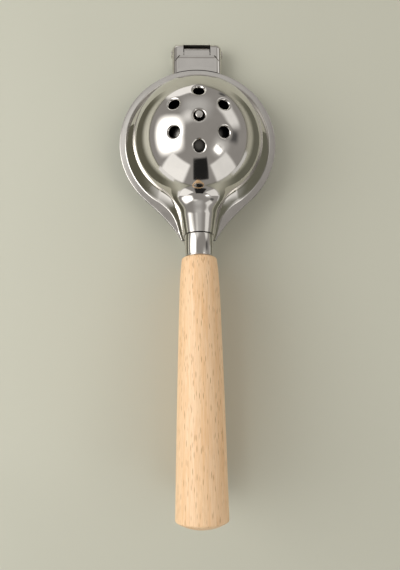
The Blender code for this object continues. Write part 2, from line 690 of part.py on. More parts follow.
def make_press_neck(steel):
    """A pressed socket under the rim: the strainer's neck turned over, with a rounded nose."""
    bm = bmesh.new()
    top = PRESS_UNDERSIDE - FIT_GAP
    full_depth = neck_height(NECK_END_Y) - FIT_GAP
    nose_length = (PRESS_NECK_START_Y - NECK_END_Y) * NOSE_SHARE
    previous = None
    for step in range(NECK_STATIONS + 1):
        share = step / NECK_STATIONS
        y = PRESS_NECK_START_Y + (NECK_END_Y - PRESS_NECK_START_Y) * share
        along = min((PRESS_NECK_START_Y - y) / nose_length, 1)
        swell = math.sqrt(1 - (1 - along) ** 2 * (1 - NOSE_BLUNTNESS))
        width = (NECK_END_RADIUS + NECK_TAPER * (y - NECK_END_Y)) * (0.4 + 0.6 * swell)
        depth = full_depth * swell
        legs = max(depth - width, LEAST_LEG)
        outline = [(-width, top)]
        for k in range(NECK_RAYS + 1):
            angle = math.pi * k / NECK_RAYS
            outline.append((-width * math.cos(angle), top - legs - (depth - legs) * math.sin(angle)))
        outline.append((width, top))
        ring = []
        for x, z in outline:
            leaned = square_end((x, y, 2 * PARTING - z), share)
            ring.append(bm.verts.new((x, leaned[1], z)))
        if previous:
            for a, b, c, d in zip(previous, previous[1:], ring[1:], ring):
                bm.faces.new((a, b, c, d))
        else:
            bm.faces.new(ring)
        previous = ring
    neck = mesh_object("press_neck", bm, PARTS, steel)
    solidify(neck, SHEET, -1)
    return neck


def underside_points():
    """Points along the bottom of the press neck and the press handle, which may touch the table."""
    along = (AXIS_START_Y - NECK_END_Y) / math.cos(HANDLE_SPLAY) + COLLAR_LENGTH + 2 * FIT_GAP
    straight = HANDLE_LENGTH - HANDLE_END_CROWN - HANDLE_END_ROUND
    neck_end = square_end((0, NECK_END_Y, neck_height(NECK_END_Y)), 1)
    points = [(neck_end[1], 2 * PARTING - neck_end[2])]
    lean = math.sin(HANDLE_SPLAY)
    for s in np.linspace(HANDLE_SHOULDER, straight, 80):
        upper = axis_point(along + s)
        radius = handle_radius(s)
        points.append((upper.y + radius * lean, 2 * PARTING - upper.z - radius * math.cos(HANDLE_SPLAY)))
    return points


def resting_pose():
    """Lays the closed tool on the table, on the hinge's bosses and its lowest point, over the origin."""

    def tilt_over(point):
        dy, dz = PIN_Y - point[0], PIN_Z - point[1]
        return math.atan2(dz, dy) - math.asin(BRACKET_BOSS_RADIUS / math.hypot(dy, dz))

    low_y, low_z = max(underside_points(), key=tilt_over)
    tilt = tilt_over((low_y, low_z))

    def laid(y, z):
        return y * math.cos(tilt) + z * math.sin(tilt), z * math.cos(tilt) - y * math.sin(tilt)

    wood_start = (AXIS_START_Y - NECK_END_Y) / math.cos(HANDLE_SPLAY) + COLLAR_LENGTH + 2 * FIT_GAP
    butt = axis_point(wood_start + HANDLE_LENGTH)
    rear = laid(butt.y, 2 * PARTING - butt.z - HANDLE_END_FLAT)[0]
    front = laid(BRACKET_FRONT_Y, PIN_Z)[0]
    pose = bpy.data.objects.new("resting_pose", None)
    pose.location = (0, -(rear + front) / 2, -laid(low_y, low_z)[1])
    pose.rotation_euler.x = -tilt
    PARTS.objects.link(pose)
    return pose


clear_scene()
PARTS = new_collection("lemon_squeezer")
CUTTERS = new_collection("cutters")
STEEL, BRASS, BEECH = polished_steel(), brass(), beech()

strainer_half = [make_strainer_cup(STEEL), make_strainer_bracket(STEEL), *make_hinge_pin(STEEL)]
strainer_start = (0, AXIS_START_Y, AXIS_HEIGHT)
strainer_half += make_handle_set("strainer", strainer_start, AXIS_DIRECTION, STEEL, BRASS, BEECH)
press_half = [make_press_cup(STEEL), *make_press_pin(STEEL), make_press_bracket(STEEL)]
press_half.append(make_press_neck(STEEL))
press_start = (0, AXIS_START_Y, 2 * PARTING - AXIS_HEIGHT)
press_direction = AXIS_DIRECTION * Vector((1, 1, -1))
press_half += make_handle_set("press", press_start, press_direction, STEEL, BRASS, BEECH)

POSE = resting_pose()
HINGE = bpy.data.objects.new("hinge_axis", None)
HINGE.location = (0, PIN_Y, PIN_Z)
HINGE.parent = POSE
PARTS.objects.link(HINGE)
for piece in strainer_half:
    piece.parent = HINGE
    piece.location -= HINGE.location
for piece in [*press_half, *CUTTERS.objects]:
    piece.parent = POSE
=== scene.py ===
"""Looks of a lemon squeezer: a polished strainer cup hinged over a press cup, on two turned beech handles."""

import json
import math

import bmesh
import bpy
from mathutils import Matrix, Vector
from mathutils.geometry import delaunay_2d_cdt


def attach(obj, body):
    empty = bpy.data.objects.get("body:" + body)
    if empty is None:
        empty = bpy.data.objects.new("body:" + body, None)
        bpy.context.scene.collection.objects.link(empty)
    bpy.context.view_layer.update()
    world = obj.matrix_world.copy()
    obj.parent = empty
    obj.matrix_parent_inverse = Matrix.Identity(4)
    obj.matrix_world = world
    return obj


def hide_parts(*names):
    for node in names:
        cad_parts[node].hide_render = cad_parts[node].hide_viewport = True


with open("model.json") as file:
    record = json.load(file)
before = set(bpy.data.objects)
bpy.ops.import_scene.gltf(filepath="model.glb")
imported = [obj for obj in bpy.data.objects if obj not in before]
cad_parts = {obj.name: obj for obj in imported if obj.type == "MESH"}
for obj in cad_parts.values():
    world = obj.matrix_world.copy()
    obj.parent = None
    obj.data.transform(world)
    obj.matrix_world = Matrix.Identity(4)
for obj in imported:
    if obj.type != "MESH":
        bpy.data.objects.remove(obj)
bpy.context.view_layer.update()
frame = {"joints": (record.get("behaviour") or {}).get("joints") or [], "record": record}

# The tool's own frame: the middle of the strainer's rim, its flat face at z = 0, +Y to the hinge and
# +Z out of the dome. The closed tool lies a little tilted on its lower handle and its hinge, as on a table.
rim_face = frame["record"]["mounts"][0]
tilt = math.atan2(rim_face["axis"][1], rim_face["axis"][2])
ring_centre = Vector((0, rim_face["pos_m"][1], rim_face["pos_m"][2]))
tool = Matrix.Translation(ring_centre) @ Matrix.Rotation(-tilt, 4, "X")
pin_point = tool.inverted() @ Vector(frame["joints"][0]["pos_m"])

# Camera: over the front of the handle, looking almost straight down, as in the photograph.
camera_height = 0.26208
camera_back = 0.06946
camera_right = 0.0011
camera_pitch, camera_roll, camera_yaw = math.radians(7.38), math.radians(1.42), math.radians(0.35)
bpy.ops.object.select_all(action="DESELECT")
bpy.ops.object.camera_add()
camera = bpy.context.object
camera.name = "camera"
turned_over = Matrix.Rotation(camera_pitch, 4, "X") @ Matrix.Rotation(-camera_roll, 4, "Y")
turned_over = turned_over @ Matrix.Rotation(-camera_yaw, 4, "Z")
camera.matrix_world = tool @ turned_over @ Matrix.Translation((camera_right, -camera_back, camera_height))
camera.data.lens = 33.73
camera.data.sensor_width = 36
camera.data.clip_start = 0.01
bpy.context.scene.camera = camera
bpy.context.scene.view_settings.view_transform = "Standard"


# Table and studio: a pale grey-green table top, a big soft box over the left, a small one at the
# right, dimmer window light from the front and the far side, and dark flags for the polished steel to mirror.
class Wire:
    """A shader socket: arithmetic on it adds Math nodes, and node() adds any other node of its tree."""

    def __init__(self, tree, socket=None):
        self.tree = tree
        self.socket = socket

    def node(self, kind, settings=None, inputs=None, output=0):
        made = self.tree.nodes.new(kind)
        for name, value in (settings or {}).items():
            setattr(made, name, value)
        for key, value in (inputs or {}).items():
            target = made.inputs[key]
            if isinstance(value, Wire):
                self.tree.links.new(value.socket, target)
            else:
                target.default_value = value
        return Wire(self.tree, made.outputs[output])

    def maths(self, operation, *others):
        return self.node("ShaderNodeMath", {"operation": operation}, dict(enumerate((self, *others))))

    def __add__(self, other):
        return self.maths("ADD", other)

    __radd__ = __add__

    def __sub__(self, other):
        return self.maths("SUBTRACT", other)

    def __rsub__(self, other):
        return self * -1 + other

    def __mul__(self, other):
        return self.maths("MULTIPLY", other)

    __rmul__ = __mul__

    def between(self, low, high):
        """0 below low, 1 above high, and smooth in between."""
        settings = {"interpolation_type": "SMOOTHSTEP"}
        return self.node("ShaderNodeMapRange", settings, {"Value": self, "From Min": low, "From Max": high})

    def feed(self, shader, name):
        self.tree.links.new(self.socket, shader.inputs[name])


def new_material(name):
    """An empty material, its Principled shader, and a wire to build with."""
    material = bpy.data.materials.new(name)
    material.use_nodes = True
    return material, material.node_tree.nodes["Principled BSDF"], Wire(material.node_tree)


table_colour = (0.53, 0.535, 0.45)
bpy.ops.object.select_all(action="DESELECT")
bpy.ops.mesh.primitive_plane_add(size=8)
table_top = bpy.context.object
table_top.name = "table_top"
material, shader, wire = new_material("pale_table")
shader.inputs["Base Color"].default_value = (*table_colour, 1)
shader.inputs["Roughness"].default_value = 0.65
table_top.data.materials.append(material)

lit_point = Vector((0, 0, 0.015))


def studio_card(name, place, width, height, brightness, softness=0.25, tint=(1, 0.985, 0.96), in_steel=True):
    """A glowing or dark card with faded edges, where a brightness of 1 is white.

    The camera doesn't see it and it casts no shadow. Only a bright card lights the table and the wood,
    and the steel mirrors each card, unless in_steel is off.
    """
    bpy.ops.object.select_all(action="DESELECT")
    bpy.ops.mesh.primitive_plane_add(size=1)
    card = bpy.context.object
    card.name = name
    turn = (tool @ lit_point - place).to_track_quat("-Z", "Y").to_matrix().to_4x4()
    card.matrix_world = Matrix.Translation(place) @ turn @ Matrix.Diagonal((width, height, 1, 1))
    card.visible_camera = False
    card.visible_shadow = False
    card.visible_glossy = in_steel
    card.visible_diffuse = brightness > 0.2
    material, shader, wire = new_material(name)
    material.node_tree.nodes.remove(shader)
    spot = wire.node("ShaderNodeTexCoord", output="Object")
    across = wire.node("ShaderNodeSeparateXYZ", inputs={"Vector": spot}, output="X").maths("ABSOLUTE")
    along = wire.node("ShaderNodeSeparateXYZ", inputs={"Vector": spot}, output="Y").maths("ABSOLUTE")
    inside = (1 - across.between(0.5 - softness, 0.5)) * (1 - along.between(0.5 - softness, 0.5))
    glow = wire.node("ShaderNodeEmission", inputs={"Color": (*tint, 1), "Strength": brightness})
    clear = wire.node("ShaderNodeBsdfTransparent")
    mixed = wire.node("ShaderNodeMixShader", inputs={0: inside, 1: clear, 2: glow})
    output = material.node_tree.nodes["Material Output"]
    material.node_tree.links.new(mixed.socket, output.inputs["Surface"])
    card.data.materials.append(material)


def soft_card(name, azimuth, polar, width, height, *looks):
    """A studio card placed and sized in degrees: round the cup, and down from straight above it."""
    distance = 0.75
    flat, turn = math.sin(math.radians(polar)), math.radians(azimuth)
    where = Vector((flat * math.cos(turn), flat * math.sin(turn), math.cos(math.radians(polar))))
    size_x, size_y = (2 * distance * math.tan(math.radians(a / 2)) for a in (width, height))
    studio_card(name, tool @ (lit_point + where * distance), size_x, size_y, *looks)


# Each card's direction round the cup and down from above it, width and height, brightness and softness.
soft_card("left_soft_box", -178, 51, 68, 62, 4.4, 0.38)
soft_card("right_soft_box", -38, 46, 20, 20, 4.0, 0.4)
soft_card("right_glow", -32, 46, 46, 40, 0.75, 0.5)
soft_card("right_fill", -14, 34, 46, 46, 1.9, 0.3, (1, 0.92, 0.82), False)
soft_card("left_window", -127, 76, 42, 44, 1.2, 0.13)
soft_card("right_window", -49, 77, 38, 42, 0.95, 0.13)
soft_card("far_window", 108, 80, 38, 24, 1.15, 0.15)
soft_card("far_ceiling", 94, 40, 60, 56, 0.6, 0.45)
soft_card("left_ceiling", 124, 28, 40, 30, 0.95, 0.5)
soft_card("right_ceiling", 32, 61, 46, 30, 0.95, 0.3)
soft_card("dark_flag", -86, 66, 26, 44, 0.02, 0.1)
soft_card("right_flag", -2, 62, 26, 26, 0.1, 0.4)
soft_card("far_right_flag", 62, 80, 12, 10, 0.1, 0.4)

# Two low white boards in front, close over the table, light the foot of the dome.
studio_card("left_low_board", tool @ Vector((-0.141, -0.141, -0.006)), 0.1, 0.03, 1.0, 0.12)
studio_card("right_low_board", tool @ Vector((0.18, -0.087, -0.006)), 0.14, 0.03, 0.7, 0.2)

# Low dark flags stand on the table beside the tool, and give its steel its dark edges.
studio_card("left_low_flag", tool @ Vector((-0.058, 0.0, -0.008)), 0.24, 0.044, 0.14, 0.3, (0.96, 0.92, 0.66))
studio_card("right_low_flag", tool @ Vector((0.062, 0.0, -0.008)), 0.24, 0.044, 0.16, 0.3, (0.96, 0.95, 0.72))

# The room is a warm grey.
room_grey = (0.34, 0.325, 0.31)
world = bpy.data.worlds.new("studio")
bpy.context.scene.world = world
world.use_nodes = True
world.node_tree.nodes["Background"].inputs["Color"].default_value = (*room_grey, 1)


# Strainer cup: one pear-shaped pressing of polished stainless sheet, with dome, half neck and flat rim in
# one. Seven holes are punched through the dome, and polishing rounds their edges. Inside it is rougher, and
# its darker colour there is painted shade of the hollow.
sheet = 0.0012
cup_radius, rim_radius = 0.0317, 0.03825
cove_radius, neck_cove_radius = 0.004, 0.001
# A cove's height and its fillet at the rim, both as shares of its width, and how steeply it comes down.
cove_climb, cove_fillet, cove_slope = 1.375, 0.2, math.radians(53)
hole_radius, hole_lip = 0.0025, 0.00095
hole_circle, hole_count, hole_points = 0.0129, 6, 48
side_tangent_y, ridge_tangent_y, gusset_tangent_y = -0.026, -0.0268, -0.0285
ridge_foot_y, ridge_foot_height = -0.039, 0.0151
neck_end_y = -0.0483
rim_fall, rim_fall_width, rim_rounding = 0.0002, 0.00255, 0.00012
neck_end_radius, neck_taper, neck_flare = 0.007, 0.12, 0.28
gusset_end_x, gusset_end_slope = 0.0082, 0.55
axis_height, axis_start_y = 0.0093, -0.045
handle_splay = math.radians(4.6)
cap_polar, cap_spacing = math.radians(36), 0.0008
fan_rays, neck_rays, dome_rings, neck_stations = 150, 64, 20, 60
cove_steps, fillet_steps, rim_steps = 9, 5, 7

# Places closer than this are the same.
hair = 1e-6


def arc(middle, radii, start, end, steps):
    """Points from one angle to another, in degrees, round a circle or an ellipse of two radii."""
    angles = [math.radians(start + (end - start) * k / steps) for k in range(steps + 1)]
    return [(middle[0] + radii[0] * math.cos(a), middle[1] + radii[1] * math.sin(a)) for a in angles]


def hermite(y, y0, v0, slope0, y1, v1, slope1):
    """A smooth curve from value v0 at y0 to v1 at y1, with the slopes given there."""
    t, span = (y - y0) / (y1 - y0), y1 - y0
    first = (2 * t**3 - 3 * t**2 + 1) * v0 + (t**3 - 2 * t**2 + t) * span * slope0
    return first + (3 * t**2 - 2 * t**3) * v1 + (t**3 - t**2) * span * slope1


def circle_height(radius, y):
    return math.sqrt(max(radius**2 - y**2, 0))


def gusset_half_width(y):
    if y > gusset_tangent_y:
        return circle_height(rim_radius, y)
    x0 = circle_height(rim_radius, gusset_tangent_y)
    slope = -gusset_tangent_y / x0
    return hermite(y, gusset_tangent_y, x0, slope, neck_end_y, gusset_end_x, gusset_end_slope)


def neck_half_width(y):
    if y > side_tangent_y:
        return circle_height(cup_radius, y)
    w0 = circle_height(cup_radius, side_tangent_y)
    return hermite(y, side_tangent_y, w0, -side_tangent_y / w0, neck_end_y, neck_end_radius, neck_flare)


def neck_height(y):
    """The ridge falls with the dome, turns in a short saddle, and rises a little to the neck's end."""
    if y > ridge_tangent_y:
        return circle_height(cup_radius, y)
    h0 = circle_height(cup_radius, ridge_tangent_y)
    end = axis_height + (axis_start_y - neck_end_y) * math.tan(handle_splay) + neck_end_radius
    rise = (end - ridge_foot_height) / (neck_end_y - ridge_foot_y)
    if y > ridge_foot_y:
        return hermite(y, ridge_tangent_y, h0, -ridge_tangent_y / h0, ridge_foot_y, ridge_foot_height, rise)
    return ridge_foot_height + rise * (y - ridge_foot_y)


def wall_lean(width, height, cove):
    """How far the wall has turned inwards where its cove starts, in radians."""
    legs = max(height - width, 0)
    return math.asin(max(cove_climb * cove - legs, 0) / (height - legs))


def neck_section(y, cove):
    """A half round on straight legs, from the cove on one side to the other."""
    width, height = neck_half_width(y), neck_height(y)
    legs = max(height - width, 0)
    start = wall_lean(width, height, cove)
    foot = cove_climb * cove
    leg = max(legs - foot, 0)
    length = 2 * leg + width * (math.pi - 2 * start)
    points = []
    for step in range(neck_rays + 1):
        s = length * step / neck_rays
        if s <= leg:
            points.append((-width, foot + s))
        elif s >= length - leg:
            points.append((width, foot + length - s))
        else:
            angle = start + (s - leg) / width
            points.append((-width * math.cos(angle), legs + (height - legs) * math.sin(angle)))
    return points


def cove_points(wall, normal, cove, lean):
    """Points down a cove: a steep sweep off the wall, and a tight fillet where it meets the flat rim."""
    start = Vector((-cove_climb * cove * math.tan(lean / 2), cove_climb * cove))
    fillet = cove_fillet * cove
    end = Vector((cove - fillet * math.sin(cove_slope), fillet * (1 - math.cos(cove_slope))))
    down = Vector((math.sin(lean), -math.cos(lean)))
    slope = Vector((math.cos(cove_slope), -math.sin(cove_slope)))
    corner = start + down * ((end - start).cross(slope) / down.cross(slope))
    profile = []
    for step in range(1, cove_steps + 1):
        t = step / cove_steps
        profile.append(start * (1 - t) ** 2 + corner * (2 * t * (1 - t)) + end * t**2)
    profile += arc((cove, fillet), (fillet, fillet), 270 - math.degrees(cove_slope), 270, fillet_steps)[1:]
    return [(wall[0] + normal[0] * out, wall[1] + normal[1] * out, z) for out, z in profile]


def rim_points(inner, edge, level=0.0):
    """Points over the flat rim to its edge, where it falls away a little, as a pressed flange does."""
    inner, edge = Vector((inner[0], inner[1])), Vector(edge)
    points = []
    for step in range(1, rim_steps + 1):
        point = inner.lerp(edge, step / rim_steps)
        near = max(1 - (edge - point).length / rim_fall_width, 0)
        points.append((point.x, point.y, level - rim_fall * near**2))
    return points


def square_end(point, share):
    """Leans a neck station, so that the neck's end lies square to the handle's axis."""
    x, y, z = point
    return x, y + max(z - axis_height, 0) * math.tan(handle_splay) * share**2, z


def dome_ray(azimuth, end_polar):
    """Points down the dome, from the edge of its perforated cap, which all rays share."""
    ray = []
    for ring in range(dome_rings + 1):
        polar = cap_polar + (end_polar - cap_polar) * ring / dome_rings
        flat = cup_radius * math.sin(polar)
        ray.append((flat * math.cos(azimuth), flat * math.sin(azimuth), cup_radius * math.cos(polar)))
    return ray


def stitch(mesh, first, second):
    for a, b, c, d in zip(first, first[1:], second[1:], second):
        mesh.faces.new((a, b, c, d))


skin = bmesh.new()
foot_polar = math.pi / 2 - math.asin(cove_climb * cove_radius / cup_radius)
side = math.atan2(side_tangent_y, circle_height(cup_radius, side_tangent_y))
fan = []
for step in range(fan_rays + 1):
    azimuth = side + (math.pi - 2 * side) * step / fan_rays
    out = Vector((math.cos(azimuth), math.sin(azimuth)))
    ray = dome_ray(azimuth, foot_polar)
    ray += cove_points(out * cup_radius, out, cove_radius, math.pi / 2 - foot_polar)
    edge_y = rim_radius * out.y
    ray += rim_points(ray[-1], (math.copysign(gusset_half_width(edge_y), out.x), edge_y))
    fan.append([skin.verts.new(p) for p in ray])
for first, second in zip(fan, fan[1:]):
    stitch(skin, first, second)
neck = [fan[-1][: dome_rings + 1]]
for x, z in neck_section(side_tangent_y, cove_radius)[1:-1]:
    polar = math.acos(z / math.sqrt(x**2 + side_tangent_y**2 + z**2))
    neck.append([skin.verts.new(p) for p in dome_ray(math.atan2(side_tangent_y, x), polar)])
neck.append(fan[0][: dome_rings + 1])
for first, second in zip(neck, neck[1:]):
    stitch(skin, first, second)

gusset_start, probe = rim_radius * math.sin(side), 1e-4
previous = [ray[-1] for ray in neck]
skirts = {-1: fan[-1][dome_rings + 1 :], 1: fan[0][dome_rings + 1 :]}
for station in range(1, neck_stations + 1):
    share = station / neck_stations
    y = side_tangent_y + (neck_end_y - side_tangent_y) * share
    cove = cove_radius + (neck_cove_radius - cove_radius) * share
    outline = neck_section(y, cove)
    ring = [skin.verts.new(square_end((x, y, z), share)) for x, z in outline]
    stitch(skin, previous, ring)
    slope = (neck_half_width(y + probe) - neck_half_width(y - probe)) / (2 * probe) if share < 1 else 0
    normal = Vector((1, -slope)).normalized()
    width = neck_half_width(y)
    lean = wall_lean(width, neck_height(y), cove)
    edge_y = gusset_start + (neck_end_y - gusset_start) * share
    for sign, foot, last in ((-1, ring[0], previous[0]), (1, ring[-1], previous[-1])):
        points = cove_points((width * sign, y), (normal.x * sign, normal.y), cove, lean)
        points += rim_points(points[-1], (gusset_half_width(edge_y) * sign, edge_y))
        skirt = [skin.verts.new(square_end(p, share)) for p in points]
        stitch(skin, [last, *skirts[sign]], [foot, *skirt])
        skirts[sign] = skirt
    previous = ring

# The perforated cap: points round each hole and between them, joined into triangles and lifted onto the dome.
cap_edge = [ray[0] for ray in fan[:-1]] + [ray[0] for ray in neck[:-1]]
flat_points = [v.co.xy for v in cap_edge]
edges = [(k, (k + 1) % len(cap_edge)) for k in range(len(cap_edge))]
hole_places = [Vector((0, 0))]
for number in range(hole_count):
    angle = math.pi / 6 + number * math.tau / hole_count
    hole_places.append(Vector((math.cos(angle), math.sin(angle))) * hole_circle)
for place in hole_places:
    for ring_radius in (hole_radius, hole_radius + 2 * hole_lip):
        first = len(flat_points)
        for k in range(hole_points):
            angle = math.tau * k / hole_points
            flat_points.append(place + Vector((math.cos(angle), math.sin(angle))) * ring_radius)
            edges.append((first + k, first + (k + 1) % hole_points))
cap_radius = cup_radius * math.sin(cap_polar)
reach = int(cap_radius / cap_spacing) + 1
row_share, cap_gap = 0.866, 0.6 * cap_spacing
for row in range(-reach, reach + 1):
    for column in range(-reach, reach + 1):
        point = Vector(((column + 0.5 * (row % 2)) * cap_spacing, row * cap_spacing * row_share))
        to_hole = min((point - place).length for place in hole_places) - hole_radius - 2 * hole_lip
        if to_hole > cap_gap and point.length < cap_radius - cap_gap:
            flat_points.append(point)
joined = delaunay_2d_cdt(flat_points, edges, [], 0, hair / 10, True)
joined_points, _, joined_faces, origins = joined[:4]
cap_verts = []
for point, source in zip(joined_points, origins):
    if source and source[0] < len(cap_edge):
        cap_verts.append(cap_edge[source[0]])
    else:
        cap_verts.append(skin.verts.new((point.x, point.y, math.sqrt(cup_radius**2 - point.length_squared))))
for corners in joined_faces:
    middle = sum((joined_points[k] for k in corners), Vector((0, 0))) / len(corners)
    if min((middle - place).length for place in hole_places) > hole_radius:
        skin.faces.new([cap_verts[k] for k in corners])
bmesh.ops.delete(skin, geom=[v for v in skin.verts if not v.link_faces], context="VERTS")


def placed(name, mesh):
    """A new object from mesh code in the tool's frame, laid where the tool lies."""
    bmesh.ops.recalc_face_normals(mesh, faces=mesh.faces)
    bmesh.ops.transform(mesh, matrix=tool, verts=mesh.verts)
    data = bpy.data.meshes.new(name)
    mesh.to_mesh(data)
    mesh.free()
    piece = bpy.data.objects.new(name, data)
    bpy.context.collection.objects.link(piece)
    return piece


def pick(piece):
    """Makes a piece the active one, and the only one selected."""
    bpy.ops.object.select_all(action="DESELECT")
    bpy.context.view_layer.objects.active = piece
    piece.select_set(True)


def finish_with(piece, kind, **settings):
    """Adds a modifier and applies it."""
    pick(piece)
    modifier = piece.modifiers.new(kind.lower(), kind)
    for name, value in settings.items():
        setattr(modifier, name, value)
    bpy.ops.object.modifier_apply(modifier=modifier.name)


to_tool = tool.inverted()


def select_edges(piece, wanted):
    """Leaves the piece in edit mode, with the edges selected whose two ends are wanted."""
    pick(piece)
    bpy.ops.object.mode_set(mode="EDIT")
    bpy.ops.mesh.select_mode(type="EDGE")
    bpy.ops.mesh.select_all(action="DESELECT")
    edit = bmesh.from_edit_mesh(piece.data)
    for edge in edit.edges:
        edge.select_set(wanted(*(to_tool @ v.co for v in edge.verts)))
    bmesh.update_edit_mesh(piece.data)


def on_hole_edge(*ends):
    if any(abs(e.length - cup_radius) > hair for e in ends):
        return False
    return any(all(abs((e.xy - place).length - hole_radius) < hair for e in ends) for place in hole_places)


def buffed_steel(name, colour, gloss, satin_rim=False, relief=None):
    """Buffed sheet steel: long faint waves of the pressing, hairlines of the wheel, and cloudier patches."""
    material, shader, wire = new_material(name)
    shader.inputs["Metallic"].default_value = 1
    place = wire.node("ShaderNodeTexCoord", output="Object")
    inputs = {"Vector": place, "Location": ring_centre, "Rotation": (-tilt, 0, 0)}
    in_tool = wire.node("ShaderNodeMapping", {"vector_type": "TEXTURE"}, inputs)
    waves = wire.node("ShaderNodeTexNoise", inputs={"Vector": in_tool, "Scale": 55, "Detail": 1})
    clouds = wire.node("ShaderNodeTexNoise", inputs={"Vector": in_tool, "Scale": 160, "Detail": 4})
    stretched = wire.node("ShaderNodeMapping", inputs={"Vector": in_tool, "Scale": (1, 0.06, 1)})
    hairlines = wire.node("ShaderNodeTexNoise", inputs={"Vector": stretched, "Scale": 2600, "Detail": 3})
    roughness = gloss + 0.05 * clouds.between(0.45, 0.75) + 0.04 * hairlines.between(0.55, 0.75)
    height, bump_depth = waves + 0.006 * hairlines, 0.00004
    if relief:
        height = height + relief(wire, in_tool) * (1 / bump_depth)
    if satin_rim:
        low = wire.node("ShaderNodeSeparateXYZ", inputs={"Vector": in_tool}, output="Z")
        flat = 1 - low.between(0.0001, 0.0009)
        roughness = roughness + 0.13 * flat
    roughness.feed(shader, "Roughness")
    bump = wire.node("ShaderNodeBump", inputs={"Height": height, "Distance": bump_depth, "Strength": 1.0})
    bump.feed(shader, "Normal")
    pale = tuple(min(c * 1.06, 1) for c in colour)
    mixed = {0: clouds.between(0.3, 0.7), 6: (*colour, 1), 7: (*pale, 1)}
    wire.node("ShaderNodeMix", {"data_type": "RGBA"}, mixed, output=2).feed(shader, "Base Color")
    return material


mirror_steel = buffed_steel("mirror_polished_steel", (0.66, 0.635, 0.6), 0.05, satin_rim=True)
# Darker, rougher steel for faces inside the strainer and the hinge box: the darker colour is painted shade of
# those hollows.
inner_shade_steel = buffed_steel("inner_shade_darkened_steel", (0.34, 0.33, 0.31), 0.3)
strainer_cup = placed("strainer_cup_skin", skin)
strainer_cup.data.materials.append(mirror_steel)
strainer_cup.data.materials.append(inner_shade_steel)
finish_with(strainer_cup, "SOLIDIFY", thickness=sheet, offset=-1, material_offset=1)
select_edges(strainer_cup, on_hole_edge)
bpy.ops.mesh.bevel(offset=hole_lip, segments=7, profile=0.5)
bpy.ops.object.mode_set(mode="OBJECT")
select_edges(strainer_cup, lambda a, b: max(abs(a.z + rim_fall), abs(b.z + rim_fall)) < hair)
bpy.ops.mesh.bevel(offset=rim_rounding, segments=4, profile=0.5)
bpy.ops.object.mode_set(mode="OBJECT")
bpy.ops.object.shade_smooth_by_angle(angle=math.radians(40))
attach(strainer_cup, "strainer_half")
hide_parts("strainer_cup")


# Press cup: a second, smaller dome nested 4 mm inside the strainer, drawn from the same sheet with a wide
# cove. Its flat rim follows the strainer's outline. A bore at the top holds the middle hole's pin.
halves_gap, fit_gap = 0.0003, 0.0003
press_clearance, press_cove_radius = 0.004, 0.006
press_pin_radius, press_pin_offset, press_pin_proud = 0.0016, 0.0004, 0.0002
press_dome_rings, press_cove_steps, edge_steps, end_steps = 40, 12, 26, 8
press_top = -sheet - halves_gap
press_underside = press_top - sheet
press_radius = cup_radius - sheet - press_clearance


def rim_outline():
    """The whole rim's outline as (x, y) points, anticlockwise from the neck's right side."""
    start = math.degrees(math.asin(gusset_tangent_y / rim_radius))
    ys = [neck_end_y + (gusset_tangent_y - neck_end_y) * k / edge_steps for k in range(edge_steps)]
    right = [(gusset_half_width(y), y) for y in ys]
    turn = arc((0, 0), (rim_radius, rim_radius), start, 180 - start, fan_rays)
    across = [(-gusset_end_x * (1 - 2 * k / end_steps), neck_end_y) for k in range(1, end_steps)]
    return right + turn + [(-x, y) for x, y in reversed(right)] + across


# The bore lies a little off the dome's middle, so the rings shift back to the middle as they widen.
skin = bmesh.new()
rise = press_cove_radius + press_top
cove_reach = math.sqrt((press_radius + press_cove_radius) ** 2 - rise**2)
lean = math.asin(rise / (press_radius + press_cove_radius))
bore_polar = (press_pin_radius + fit_gap) / press_radius
rays = []
for x, y in rim_outline():
    azimuth = math.atan2(y, x)
    out_x, out_y = math.cos(azimuth), math.sin(azimuth)
    ray = []
    for ring in range(press_dome_rings + 1):
        share = ring / press_dome_rings
        polar = bore_polar + (math.pi / 2 - lean - bore_polar) * share
        flat = press_radius * math.sin(polar)
        shift = press_pin_offset * (1 - share) ** 4
        point = Vector((flat * out_x, flat * out_y + shift, 0))
        ray.append((point.x, point.y, math.sqrt(press_radius**2 - point.length_squared)))
    for step in range(1, press_cove_steps + 1):
        angle = math.pi + lean + (math.pi / 2 - lean) * step / press_cove_steps
        flat = cove_reach + press_cove_radius * math.cos(angle)
        ray.append((flat * out_x, flat * out_y, press_top + press_cove_radius * (1 + math.sin(angle))))
    ray += rim_points(ray[-1], (x, y), press_top)
    rays.append([skin.verts.new(p) for p in ray])
for first, second in zip(rays, [*rays[1:], rays[0]]):
    stitch(skin, first, second)
press_cup = placed("press_cup_skin", skin)
# The press cup's steel is much darker than the strainer's: painted shade of the closed hollow between the
# cups, which keeps the holes black.
press_shade_steel = buffed_steel("press_shade_darkened_steel", (0.19, 0.182, 0.17), 0.34)
press_cup.data.materials.append(press_shade_steel)
finish_with(press_cup, "SOLIDIFY", thickness=sheet, offset=-1)
bpy.ops.object.shade_smooth_by_angle(angle=math.radians(40))
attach(press_cup, "press_half")
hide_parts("press_cup")


# Press neck: the socket under the rim that grips the lower stud, the strainer's neck turned over.
# It is pressed from the same sheet with a rounded nose, and spot welded under the press cup's rim.
press_neck_start_y = -0.0355
nose_share, nose_bluntness, nose_width, least_leg = 0.5, 0.05, 0.4, 0.0005
press_neck_stations, press_neck_rays = 48, 48
parting = press_underside / 2


def soften_edges(piece, width, segments, smooth_degrees):
    """Rounds a piece's sharp edges a little, and shades it smooth where it turns by less than an angle."""
    sharp = math.radians(50)
    finish_with(piece, "BEVEL", width=width, segments=segments, limit_method="ANGLE", angle_limit=sharp)
    bpy.ops.object.shade_smooth_by_angle(angle=math.radians(smooth_degrees))


